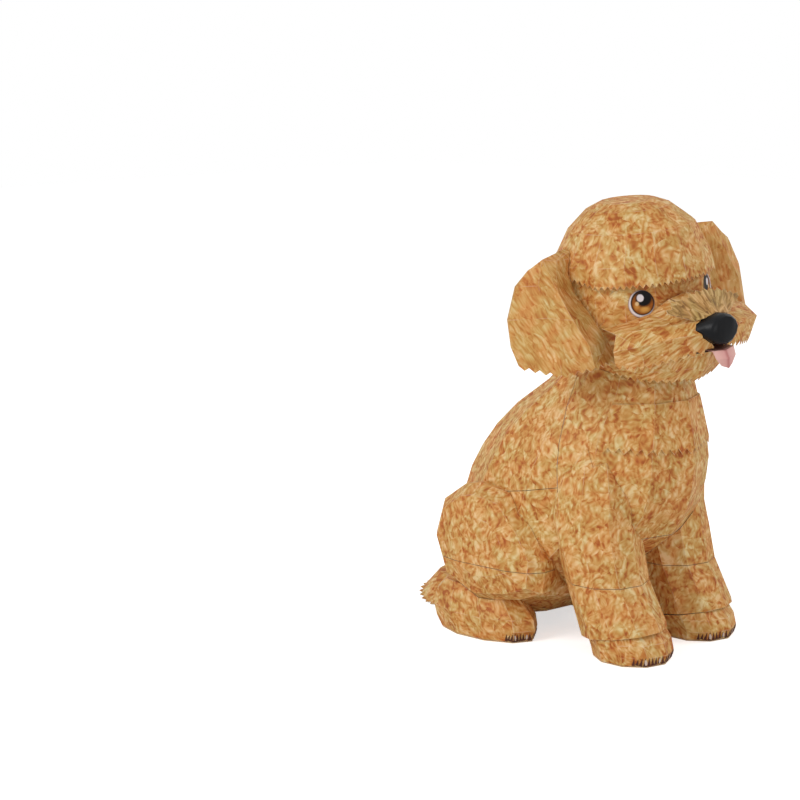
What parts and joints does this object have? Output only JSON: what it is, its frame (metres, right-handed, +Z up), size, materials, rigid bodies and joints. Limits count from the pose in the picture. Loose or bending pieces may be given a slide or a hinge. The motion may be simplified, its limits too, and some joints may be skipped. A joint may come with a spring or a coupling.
{
  "type": "papercraft dog",
  "caption": "Seated curly-coated toy dog made of folded and glued printed card, with drooping ears, a domed head, a black nose and a leaf-shaped tail.",
  "frame": {"origin": "centre of the bounding box in plan, on the surface that the paws stand on", "axes": "+Z up, the dog's body faces -Y, its right side is -X; the longest extent is along Z"},
  "size_m": [0.1478, 0.2114, 0.2278],
  "materials": {
    "printed_card": "matt printed card, tan curly-fur pattern",
    "nose_card": "black printed card, slightly glossy",
    "tongue_card": "pink printed card",
    "mouth_card": "dark brown printed card"
  },
  "bodies": {
    "root": {"chest": "printed_card", "back_right": "printed_card", "back_left": "printed_card", "belly": "printed_card", "rump_right": "printed_card", "rump_left": "printed_card", "seat": "printed_card", "chest_ruff": "printed_card", "upper_foreleg_right": "printed_card", "upper_foreleg_left": "printed_card", "lower_foreleg_right": "printed_card", "lower_foreleg_left": "printed_card", "forepaw_right": "printed_card", "forepaw_left": "printed_card", "forepaw_sole_right": "printed_card", "forepaw_sole_left": "printed_card", "thigh_right": "printed_card", "thigh_left": "printed_card", "shank_right": "printed_card", "shank_left": "printed_card", "hind_foot_right": "printed_card", "hind_foot_left": "printed_card", "hind_sole_right": "printed_card", "hind_sole_left": "printed_card", "head_core": "printed_card", "crown": "printed_card", "face": "printed_card", "muzzle_bridge": "printed_card", "moustache_right": "printed_card", "moustache_left": "printed_card", "nose_crest": "printed_card", "chin": "printed_card", "mouth": "mouth_card", "nose": "nose_card", "tongue": "tongue_card", "ear_right": "printed_card", "ear_left": "printed_card", "ear_back_right": "printed_card", "ear_back_left": "printed_card", "tail": "printed_card"}
  },
  "joints": []
}
